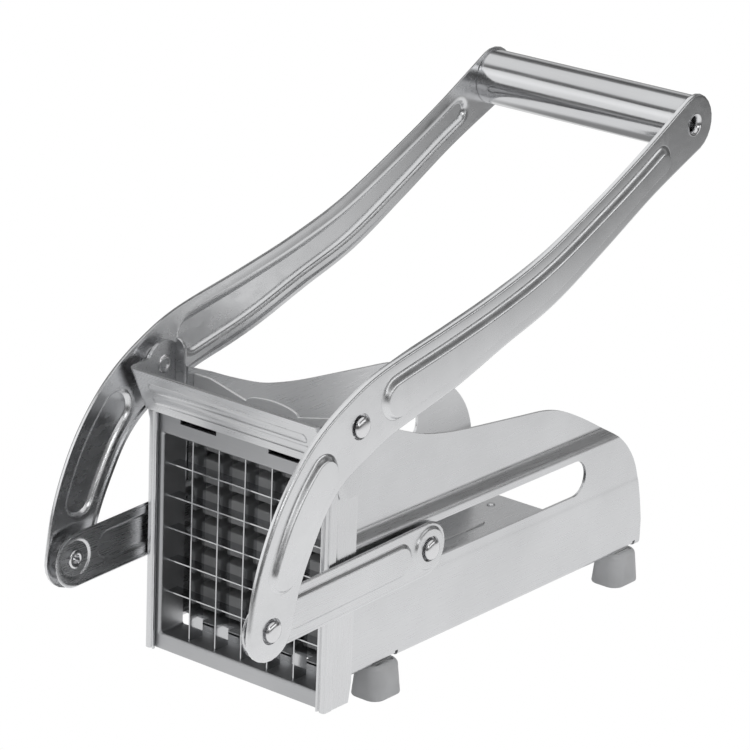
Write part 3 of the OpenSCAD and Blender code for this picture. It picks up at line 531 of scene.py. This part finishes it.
# Blades. Flat strips of hardened stainless steel, half lapped into each other, with
# a ground front edge; their ends sit in slits of the cassette's box.
BLADE_Y, BLADE_REAR, BLADE_T = 3.5, 9.7, 0.5
FLAT_Y = 4.9
GRID_LOW = 8.2
blade_steel = steel("blade_steel", (0.54, 0.545, 0.555), 0.09, (90, 2600, 2600), 0.003, wear=0.02)
for i in range(1, 6):
    height = GRID_LOW + i * PITCH
    across = (i - 3) * PITCH
    flat = block("flat_blade", (-33.4, FLAT_Y, height - BLADE_T / 2), (33.4, BLADE_REAR, height + BLADE_T / 2))
    upright = block("upright_blade", (across - BLADE_T / 2, BLADE_Y, 4.6),
                    (across + BLADE_T / 2, BLADE_REAR, 74))
    for strip, nodes in ((flat, ["horizontal_blades"]), (upright, ["vertical_blades"])):
        soften(strip, 0.09)
        fit(strip, "cassette", nodes if i == 1 else [], blade_steel)


# Peg block. Moulded black plastic: 36 drafted pegs on one back, each ending in a
# flat face with worn, rounded edges.
def moulded(name, tint, dull, grain=900.0, depth=0.03):
    """Moulded plastic or rubber with a fine spark-eroded grain."""
    material, tree, shader = new_material(name)
    where = node(tree, "ShaderNodeTexCoord")
    fine = node(tree, "ShaderNodeTexNoise", Scale=grain, Detail=3.0)
    wide = node(tree, "ShaderNodeTexNoise", Scale=60.0, Detail=3.0)
    for texture in (fine, wide):
        tree.links.new(where.outputs["Object"], texture.inputs["Vector"])
    ramp = node(tree, "ShaderNodeValToRGB")
    for end, position, share in zip(ramp.color_ramp.elements, (0.3, 0.7), (0.82, 1.18)):
        end.position = position
        end.color = (*[min(c * share, 1) for c in tint], 1)
    tree.links.new(wide.outputs["Fac"], ramp.inputs["Fac"])
    tree.links.new(ramp.outputs["Color"], shader.inputs["Base Color"])
    rough = spread(tree, fine.outputs["Fac"], (0, 1), (dull - 0.08, dull + 0.1))
    tree.links.new(rough, shader.inputs["Roughness"])
    relief = node(tree, "ShaderNodeBump", Strength=0.3, Distance=depth * MM)
    tree.links.new(fine.outputs["Fac"], relief.inputs["Height"])
    tree.links.new(relief.outputs["Normal"], shader.inputs["Normal"])
    return material


PEG_TIP, PEG_ROOT, PEG_W, PEG_DRAFT = 18.6, 31.5, 8.4, 0.95
BACK_W, BACK_T, BACK_Y = 62.4, 3, 32.5
peg_plastic = moulded("peg_plastic", (0.38, 0.384, 0.39), 0.55)
bm = bmesh.new()
for i in range(6):
    for j in range(6):
        peg = add_cube(bm, (PEG_W, PEG_ROOT - PEG_TIP, PEG_W),
                       place((i - 2.5) * PITCH, (PEG_TIP + PEG_ROOT) / 2, GRID_LOW + (j + 0.5) * PITCH))
        tips = [v for v in peg if v.co.y < place(0, PEG_TIP + 1, 0).y]
        centre = sum((v.co for v in tips), Vector()) / 4
        bmesh.ops.scale(bm, verts=tips, vec=(PEG_DRAFT, 1, PEG_DRAFT), space=Matrix.Translation(-centre))
add_cube(bm, (BACK_W, BACK_T, BACK_W), place(0, BACK_Y, GRID_LOW + 3 * PITCH))
pegs = new_object("peg_block_moulding", bm)
soften(pegs, 0.45, 3)
fit(pegs, "pusher", ["peg_block"], peg_plastic)


# Pusher carrier. A 1 mm steel plate behind the pegs, with a wing along each wall;
# four small rivets hold the moulding on it.
def eased_copy(name, source, width, segments=2):
    """A copy of a CAD node with its facets joined and its edges rounded."""
    bm = bmesh.new()
    bm.from_mesh(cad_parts[source].data)
    bmesh.ops.remove_doubles(bm, verts=bm.verts, dist=1e-6)
    bmesh.ops.dissolve_limit(bm, angle_limit=math.radians(0.5), verts=bm.verts, edges=bm.edges)
    return soften(new_object(name, bm), width, segments)


carrier = eased_copy("pusher_carrier_sheet", "pusher_carrier", 0.18)
fit(carrier, "pusher", ["pusher_carrier"], body_steel)
rivet_steel = steel("rivet_steel", (0.7, 0.7, 0.71), 0.16, (400, 400, 400), shift=0.03, wear=0.05)
rivets = eased_copy("carrier_rivet_set", "carrier_rivets", 0.2)
fit(rivets, "pusher", ["carrier_rivets"], rivet_steel)


# Bushes. Turned black nylon, one in each guide slot, free on the link's rivet.
bush_plastic = moulded("bush_plastic", (0.04, 0.04, 0.042), 0.4)
for side in ("right", "left"):
    name = "slider_bush_" + side
    fit(eased_copy(name + "_turned", name, 0.25), "pusher", [name], bush_plastic)


# Links. Two stamped straps of 1 mm steel with a raised panel and a raised boss at
# the rear, where a rivet joins each to its bush.
LINK_OUT, LINK_SHEET = 38.6, 0.9
LINK_HALF, LINK_BEND = 8.6, 0.7
PANEL_START, PANEL_L = 14, 49.4
CRANK = Vector((-31.5, 39.1))
SLIDER = Vector((46.9, 41.7))
link_steel = steel("link_steel", (0.66, 0.665, 0.675), 0.28, (2600, 90, 2600))


def ribbon(line, left, right, round_steps=12):
    """Outline round a line of (y, z, half width), moved in from its two sides."""
    flat = [Vector((p.x, p.y)) for p in line]
    last = len(flat) - 1
    heading = [(flat[min(i + 1, last)] - flat[max(i - 1, 0)]).normalized() for i in range(last + 1)]
    turned = [Vector((-d.y, d.x)) for d in heading]
    widths = [p.z for p in line]
    points = [flat[i] + turned[i] * (widths[i] - left) for i in range(last + 1)]
    for k in range(1, round_steps):
        a = math.pi / 2 - math.pi * k / round_steps
        r = widths[last] - left + (left - right) * k / round_steps
        points.append(flat[last] + (heading[last] * math.cos(a) + turned[last] * math.sin(a)) * r)
    points += [flat[i] - turned[i] * (widths[i] - right) for i in range(last, -1, -1)]
    for k in range(1, round_steps):
        a = math.pi / 2 - math.pi * k / round_steps
        r = widths[0] - right + (right - left) * k / round_steps
        points.append(flat[0] - (heading[0] * math.cos(a) + turned[0] * math.sin(a)) * r)
    return points


def circle_points(centre, radius, steps=40):
    angles = [2 * math.pi * k / steps for k in range(steps)]
    return [centre + Vector((math.cos(a), math.sin(a))) * radius for a in angles]


def pressed(bm, rings, x):
    """A raised form from rings of points and heights; returns its foot and its top edge."""
    points, rise = rings[0]
    ring = [bm.verts.new(p) for p in side_points(x + rise, points)]
    foot = ring_edges(bm, ring)
    for points, rise in rings[1:]:
        ring = carry_ring(bm, ring, side_points(x + rise, points))
    return foot, ring_edges(bm, ring)


def hole_edges(bm, centre, radius, x):
    """The edge of a round hole in a face that looks across the cutter."""
    return ring_edges(bm, [bm.verts.new(p) for p in side_points(x, circle_points(centre, radius))])


def bent_rim(bm, ring, line, bend, x, steps=5):
    """Turns a rim's edge over to the sheet's face with a bend of a radius."""
    for k in range(steps + 1):
        a = math.radians(90 * k / steps)
        inset = bend * (1 - math.cos(a))
        ring = carry_ring(bm, ring, side_points(x - bend * (1 - math.sin(a)), ribbon(line, inset, inset)))
    return ring_edges(bm, ring)


def swell(steps=7):
    """Shares of width and height over a pressed shoulder."""
    shares = [k / steps for k in range(steps + 1)]
    return [(t, t * t * (3 - 2 * t)) for t in shares]


def sheet_fill(bm, edges):
    bmesh.ops.triangle_fill(bm, use_beauty=True, use_dissolve=False, edges=edges, normal=(1, 0, 0))


def stamped(name, bm, thickness, even):
    """Closes a stamping: its outer face turned out, then the sheet grown inward."""
    bmesh.ops.recalc_face_normals(bm, faces=bm.faces)
    if sum(f.normal.x * f.calc_area() for f in bm.faces) < 0:
        bmesh.ops.reverse_faces(bm, faces=bm.faces)
    return thicken(new_object(name, bm), thickness, even=even)


def other_side(obj, name):
    """The same piece for the left half of the cutter."""
    bm = bmesh.new()
    bm.from_mesh(obj.data)
    bmesh.ops.scale(bm, verts=bm.verts, vec=(-1, 1, 1))
    bmesh.ops.reverse_faces(bm, faces=bm.faces)
    return new_object(name, bm)


bm = bmesh.new()
along = (CRANK - SLIDER).normalized()
link_line = [Vector((*(SLIDER + (CRANK - SLIDER) * k / 10), LINK_HALF)) for k in range(11)]
panel_line = [Vector((*(SLIDER + along * (PANEL_START + PANEL_L * k / 10)), LINK_HALF)) for k in range(11)]
ring = [bm.verts.new(p) for p in side_points(LINK_OUT - LINK_BEND, ribbon(link_line, 0, 0))]
flat_edges = bent_rim(bm, ring, link_line, LINK_BEND, LINK_OUT)
panel = [(ribbon(panel_line, 2.8 + 1.5 * w, 2.8 + 1.5 * w), 0.9 * h) for w, h in swell()]
foot, top = pressed(bm, panel, LINK_OUT)
flat_edges += foot
sheet_fill(bm, top)
for centre, wide, rise, bore in ((SLIDER, 7.4, 0.9, 4.2), (CRANK, 7.0, 0.5, 2.7)):
    boss = [(circle_points(centre, wide - 1.1 * w), rise * h) for w, h in swell(5)]
    foot, top = pressed(bm, boss, LINK_OUT)
    sheet_fill(bm, top + hole_edges(bm, centre, bore, LINK_OUT + rise))
    flat_edges += foot
sheet_fill(bm, flat_edges)
link = stamped("link_right_stamping", bm, LINK_SHEET, False)
left_link = other_side(link, "link_left_stamping")
fit(link, "links", ["link_right"], link_steel)
fit(left_link, "links", ["link_left"], link_steel)


# Rivets of the links. Nickel-plated steel: a domed head in a sunk seat outside, and
# a rolled hollow end inside; the front eyes carry a plain hollow rivet.
def turned_part(name, centre, profile, steps=48):
    """A part turned round an axis across the cutter, from (x, radius) points."""
    bm = bmesh.new()
    verts = [bm.verts.new(place(x, centre.x + r, centre.y)) for x, r in profile]
    edges = [bm.edges.new(pair) for pair in zip(verts, verts[1:])]
    bmesh.ops.spin(bm, geom=verts + edges, cent=place(0, centre.x, centre.y), axis=(1, 0, 0),
                   dvec=(0, 0, 0), angle=2 * math.pi, steps=steps, use_merge=True, use_normal_flip=False,
                   use_duplicate=False)
    bmesh.ops.remove_doubles(bm, verts=bm.verts, dist=1e-6)
    bmesh.ops.recalc_face_normals(bm, faces=bm.faces)
    return new_object(name, bm)


def both_rivets(name, centre, profile, body, material):
    """Turns a rivet for the right side and mirrors it for the left."""
    right = turned_part(name + "_right_turned", centre, profile)
    left = other_side(right, name + "_left_turned")
    fit(right, body, [name + "_right"], material)
    fit(left, body, [name + "_left"], material)


def sunk_head(seat, head_top, radius=3.4, seat_radius=4.15):
    """A seat under the sheet's face and the domed head that stands in it."""
    tall = head_top - seat
    dome = [(0.62, 1.0), (0.76, 0.95), (0.87, 0.82), (0.95, 0.58), (0.99, 0.3), (1.0, 0.0)]
    ring = [(seat - 0.3, seat_radius), (seat, seat_radius), (seat, radius + 0.25),
            (seat + 0.05, radius + 0.05), (seat + 0.15, radius)]
    return ring + [(seat + tall * h, radius * w) for h, w in dome]


def hollow_end(x_in, stop):
    """The rolled hollow end inside, from the hollow's bottom out to the shank."""
    return [(x_in + 4.6, 0), (x_in + 4.6, 1.3), (x_in - 0.3, 1.4), (x_in - 0.55, 1.6), (x_in - 0.6, 2.0),
            (x_in - 0.5, 2.7), (x_in - 0.2, 3.0), (x_in, 3.05), (x_in, 2.5), (stop, 2.5)]


EYELET = [(39.2, 0), (39.0, 1.5), (37.5, 1.5), (37.3, 1.8), (37.25, 2.3), (37.3, 2.9), (37.5, 3.1), (37.7, 3.1),
          (37.7, 2.6), (39.1, 2.6), (39.1, 4.0), (39.4, 3.9), (39.5, 3.2), (39.4, 1.6), (39.2, 0)]
both_rivets("slider_rivet", SLIDER, hollow_end(33.9, 38.0) + sunk_head(38.3, 41.3), "pusher", rivet_steel)
both_rivets("link_eyelet", CRANK, EYELET, "links", rivet_steel)


# Lever arms. Two long stampings of 1.2 mm steel with a rim turned inward all round
# and two raised panels; they carry the handle at one end and a rivet at the other.
ARM_OUT, ARM_SHEET, ARM_BEND = 42.2, 1.2, 1.1
GRIP = Vector((174.3, 154.4))
ARM_LINE = [(-31.5, 39.1, 9.96), (-28.28, 53.06, 10.6), (-22.02, 66.85, 11.1), (-14.65, 77.89, 10.99),
            (-5.23, 86.54, 11.1), (7.21, 93.01, 11.6), (20.91, 98.04, 11.5), (49.31, 104.25, 10.95),
            (74.47, 111.04, 9.8), (99.08, 118.48, 9.69), (124.37, 129.92, 9.2), (149.41, 142.31, 8.9),
            (174.3, 154.4, 10.2)]
arm_steel = steel("arm_steel", (0.68, 0.685, 0.695), 0.24, (1800, 140, 300), grain_depth=0.006)
line = smooth_line(ARM_LINE, 8)


def ease(value, low, high):
    """Rises smoothly from 0 at low to 1 at high."""
    t = min(max((value - low) / (high - low), 0), 1)
    return t * t * (3 - 2 * t)


def rim_depth(point):
    """The rim is a little deeper along the upper arm and shallower at the handle."""
    deep = ease((point - PIVOT).length, 19, 34) * ease(point.x, 8, 22)
    return 1.7 + 0.4 * deep - 0.8 * ease(point.x, 60, 140)


def arm_panel(first, last, left, right, wide_left, wide_right):
    """A raised panel along part of the arm, with a crease round its foot."""
    part = line[first:last + 1]
    crease = [(0, 0), (0.06, -0.09), (0.14, -0.07)]
    shoulder = crease + [(0.2 + 0.8 * w, 1.4 * h) for w, h in swell()]
    return [(ribbon(part, left + wide_left * w, right + wide_right * w), h) for w, h in shoulder]


bm = bmesh.new()
ring = [bm.verts.new(place(ARM_OUT - rim_depth(p), p.x, p.y)) for p in ribbon(line, 0, 0)]
flat_edges = bent_rim(bm, ring, line, ARM_BEND, ARM_OUT)
for rings in (arm_panel(10, 28, 4.1, 3.4, 3.0, 1.5), arm_panel(49, 90, 3.6, 4.0, 3.6, 1.3)):
    foot, top = pressed(bm, rings, ARM_OUT)
    flat_edges += foot
    sheet_fill(bm, top)
for centre, radius in ((PIVOT, 4.2), (CRANK, 4.2), (GRIP, 3.7)):
    flat_edges += hole_edges(bm, centre, radius, ARM_OUT)
sheet_fill(bm, flat_edges)
arm = stamped("arm_right_stamping", bm, ARM_SHEET, True)
soften(arm, 0.16)
left_arm = other_side(arm, "arm_left_stamping")
fit(arm, "lever", ["arm_right"], arm_steel)
fit(left_arm, "lever", ["arm_left"], arm_steel)


# Rivets of the arms. Nickel-plated steel with domed heads in sunk seats; a steel
# washer keeps each arm off its ear.
ARM_HEAD = sunk_head(40.7, 44.0)
LOWER_END = [(39.9, 0), (39.9, 4.0), (40.1, 4.2), (40.4, 4.2)]
both_rivets("pivot_rivet", PIVOT, hollow_end(37.2, 40.4) + ARM_HEAD, "base", rivet_steel)
both_rivets("lower_rivet", CRANK, LOWER_END + ARM_HEAD, "lever", rivet_steel)
for side in ("right", "left"):
    name = "pivot_spacer_" + side
    fit(eased_copy(name + "_turned", name, 0.2), "base", [name], rivet_steel)


# Handle. A polished steel tube between the arms; a hollow tie rod through plastic
# plugs holds it, and its ends are flared over the arms.
TUBE_R, TUBE_BORE, TUBE_HALF = 9.3, 8.3, 41.0
TUBE_END = [(TUBE_HALF, TUBE_BORE), (TUBE_HALF, 9.1), (40.9, 9.25), (40.7, TUBE_R)]
FLARE = [(36.0, 0), (36.0, 2.2), (40.6, 2.3), (41.6, 2.7), (42.2, 3.3), (42.4, 3.7), (42.35, 3.9), (42.1, 3.7),
         (41.3, 3.2), (40.9, 3.0)]
tube_steel = steel("tube_steel", (0.62, 0.625, 0.635), 0.13, (90, 1500, 1500), grain_depth=0.004, shift=0.03)
tube_line = [(-x, r) for x, r in TUBE_END] + TUBE_END[::-1] + [(-TUBE_HALF, TUBE_BORE)]
tube = turned_part("handle_tube_drawn", GRIP, tube_line, 96)
fit(tube, "lever", ["handle_tube"], tube_steel)
tie = turned_part("handle_tie_rod_flared", GRIP, FLARE + [(-x, r) for x, r in reversed(FLARE)])
fit(tie, "lever", ["handle_tie_rod"], rivet_steel)
plugs = eased_copy("tube_plug_pair", "tube_plugs", 0.3)
fit(plugs, "lever", ["tube_plugs"], bush_plastic)


# Feet. Four moulded grey rubber feet, each slit on top and pushed up on a tab of
# the wall.
FOOT_SIZE, FOOT_X, FOOT_Z = (12.2, 14.6, 11.4), 32.85, 1.8
CROWN = (0.86, 0.88, 1)
foot_rubber = moulded("foot_rubber", (0.5, 0.505, 0.515), 0.6, 700.0, 0.05)
for side, hand in ((1, "right"), (-1, "left")):
    for y, end in zip(FEET_Y, ("front", "rear")):
        bm = bmesh.new()
        corners = add_cube(bm, FOOT_SIZE, place(side * FOOT_X, y, FOOT_Z))
        crown = [v for v in corners if v.co.z > place(0, 0, 2).z]
        centre = sum((v.co for v in crown), Vector()) / 4
        bmesh.ops.scale(bm, verts=crown, vec=CROWN, space=Matrix.Translation(-centre))
        round_edges(bm, upright_edges(bm, 5), 4.0, 10)
        round_edges(bm, edges_above(bm, 6), 1.6, 5)
        sole = [e for e in bm.edges if max(v.co.z for v in e.verts) < place(0, 0, -3.5).z]
        round_edges(bm, sole, 0.5, 2)
        foot = new_object(f"{end}_foot_{hand}_moulding", bm)
        combine(foot, [side_block("tab_slit", side, (35.0, y - 4.2, 2.5), (36.4, y + 4.2, 12))], "DIFFERENCE")
        soften(foot, 0.15)
        fit(foot, "base", [f"{end}_foot_{hand}"], foot_rubber)


# Studio. A plain white floor that fades in the metal's reflections, a dim room with
# a pale ceiling, a broad soft lamp in front and three smaller ones round the part.
def seen_directly(tree):
    """One for what the camera sees, straight or through a clear surface."""
    path = node(tree, "ShaderNodeLightPath")
    either = node(tree, "ShaderNodeMath", operation="MAXIMUM")
    tree.links.new(path.outputs["Is Camera Ray"], either.inputs[0])
    tree.links.new(path.outputs["Is Transmission Ray"], either.inputs[1])
    return path, either.outputs["Value"]


def levels(tree, value, marks):
    """Greys along a value, from (place, grey) marks."""
    ramp = node(tree, "ShaderNodeValToRGB")
    ramp.color_ramp.interpolation = "EASE"
    ends = ramp.color_ramp.elements
    for end, (position, grey) in zip(ends, (marks[0], marks[-1])):
        end.position = position
        end.color = (grey, grey, grey, 1)
    for position, grey in marks[1:-1]:
        ends.new(position).color = (grey, grey, grey, 1)
    tree.links.new(value, ramp.inputs["Fac"])
    return ramp.outputs["Color"]


bm = bmesh.new()
bmesh.ops.create_grid(bm, x_segments=1, y_segments=1, size=6)
floor = new_object("studio_floor", bm)
paint, tree, shader = new_material("studio_floor")
shader.inputs["Base Color"].default_value = (0.9, 0.9, 0.9, 1)
shader.inputs["Roughness"].default_value = 0.9
shader.inputs["Specular IOR Level"].default_value = 0.0
# In the metal's reflections the floor glows instead of being lit. A painted pool of light round the part
# darkens with distance, and a painted shadow patch sits behind and left of it.
where = node(tree, "ShaderNodeTexCoord")
away = node(tree, "ShaderNodeVectorMath", operation="LENGTH")
tree.links.new(where.outputs["Object"], away.inputs[0])
shade = node(tree, "ShaderNodeVectorMath", operation="DISTANCE")
shade.inputs[1].default_value = (-0.06, 0.15, 0)
tree.links.new(where.outputs["Object"], shade.inputs[0])
fading = node(tree, "ShaderNodeVectorMath", operation="MULTIPLY")
AWAY_GREYS = [(0.0, 1.0), (0.25, 0.98), (0.33, 0.84), (0.41, 0.64), (0.56, 0.38), (0.8, 0.16)]
SHADE_GREYS = [(0.0, 0.3), (0.06, 0.34), (0.12, 1.0)]
tree.links.new(levels(tree, away.outputs["Value"], AWAY_GREYS), fading.inputs[0])
tree.links.new(levels(tree, shade.outputs["Value"], SHADE_GREYS), fading.inputs[1])
sheen = node(tree, "ShaderNodeEmission", Strength=1.0)
tree.links.new(fading.outputs["Vector"], sheen.inputs["Color"])
white = node(tree, "ShaderNodeEmission", Color=(1, 1, 1, 1), Strength=1.0)
path, direct = seen_directly(tree)
mirrored = node(tree, "ShaderNodeMixShader")
tree.links.new(path.outputs["Is Glossy Ray"], mirrored.inputs["Fac"])
tree.links.new(shader.outputs["BSDF"], mirrored.inputs[1])
tree.links.new(sheen.outputs["Emission"], mirrored.inputs[2])
choose = node(tree, "ShaderNodeMixShader")
tree.links.new(direct, choose.inputs["Fac"])
tree.links.new(mirrored.outputs["Shader"], choose.inputs[1])
tree.links.new(white.outputs["Emission"], choose.inputs[2])
tree.links.new(choose.outputs["Shader"], tree.nodes["Material Output"].inputs["Surface"])
floor.data.materials.append(paint)

room = bpy.data.worlds.new("studio_room")
bpy.context.scene.world = room
room.use_nodes = True
tree = room.node_tree
where = node(tree, "ShaderNodeTexCoord")
parts = node(tree, "ShaderNodeSeparateXYZ")
tree.links.new(where.outputs["Generated"], parts.inputs["Vector"])
back_light = tree.nodes["Background"]
back_light.inputs["Strength"].default_value = 1.0
ROOM_GREYS = [(0.0, 0.1), (0.16, 0.14), (0.34, 0.32), (0.45, 0.26), (0.54, 0.1), (0.69, 0.22), (0.74, 0.95),
              (1.0, 1.05)]
tree.links.new(levels(tree, parts.outputs["Z"], ROOM_GREYS), back_light.inputs["Color"])
plain = node(tree, "ShaderNodeBackground", Color=(1, 1, 1, 1), Strength=1.0)
choose = node(tree, "ShaderNodeMixShader")
path, direct = seen_directly(tree)
tree.links.new(direct, choose.inputs["Fac"])
tree.links.new(back_light.outputs["Background"], choose.inputs[1])
tree.links.new(plain.outputs["Background"], choose.inputs[2])
tree.links.new(choose.outputs["Shader"], tree.nodes["World Output"].inputs["Surface"])

LAMPS = (("front_lamp", (-0.75, -0.95, 0.52), 1.7, 0.95, 4.6),
         ("side_lamp", (1.1, -0.9, 0.9), 0.5, 0.5, 2.0),
         ("right_lamp", (1.25, 0.25, 0.36), 1.8, 0.36, 2.4),
         ("rear_lamp", (-0.62, 0.85, 0.37), 0.7, 0.4, 0.32))
LAMP_AIM = Vector((0, 0, 0.1))
for name, spot, wide, high, power in LAMPS:
    lamp = bpy.data.lights.new(name, "AREA")
    lamp.shape = "RECTANGLE"
    lamp.size, lamp.size_y = wide, high
    lamp.energy = power
    holder = bpy.data.objects.new(name, lamp)
    bpy.context.scene.collection.objects.link(holder)
    holder.location = spot
    holder.rotation_mode = "QUATERNION"
    holder.rotation_quaternion = (Vector(spot) - LAMP_AIM).to_track_quat("Z", "Y")
    holder.visible_camera = False

CAMERA_AT = (0.693699, -0.872725, 0.482433)
CAMERA_RIGHT = (0.771986, 0.634597, 0.036385)
CAMERA_UP = (-0.239046, 0.236808, 0.941689)
CAMERA_BACK = (0.588977, -0.735669, 0.334510)
lens = bpy.data.cameras.new("photo_camera")
lens.sensor_width, lens.lens = 36.0, 178.21
lens.clip_start, lens.clip_end = 0.05, 50
camera = bpy.data.objects.new("photo_camera", lens)
bpy.context.scene.collection.objects.link(camera)
turn = Matrix((CAMERA_RIGHT, CAMERA_UP, CAMERA_BACK)).transposed().to_4x4()
camera.matrix_world = Matrix.Translation(CAMERA_AT) @ turn
bpy.context.scene.camera = camera
bpy.context.scene.view_settings.view_transform = "Standard"
